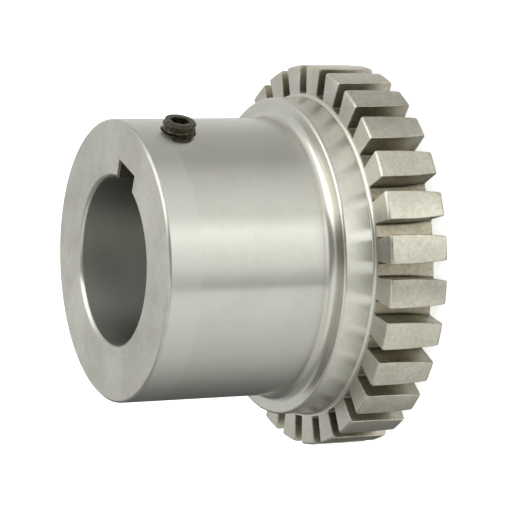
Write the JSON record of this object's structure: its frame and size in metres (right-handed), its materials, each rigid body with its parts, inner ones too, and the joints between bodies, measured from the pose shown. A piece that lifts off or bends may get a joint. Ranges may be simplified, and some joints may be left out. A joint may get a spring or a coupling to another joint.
{
  "type": "grid coupling hub",
  "caption": "Steel hub of a grid coupling: a bored barrel with a keyway and a set screw, and a toothed disc with flared slots for a grid spring.",
  "frame": {"origin": "centre of the toothed gap face, on the bore axis, where the hub stands", "axes": "+Z along the bore axis towards the plain end of the barrel, +X from the axis through the keyway and the set screw"},
  "size_m": [0.092, 0.092, 0.0645],
  "materials": {
    "hub_steel": "turned and milled bare steel",
    "screw_black": "black oxide"
  },
  "bodies": {
    "hub": {"hub": "hub_steel"},
    "set_screw": {"set_screw": "screw_black"}
  },
  "joints": [
    {"name": "set_screw_feed", "type": "slide", "parent": "hub", "child": "set_screw", "axis": [1, 0, 0], "range_m": [-0.0024, 0.004]}
  ]
}
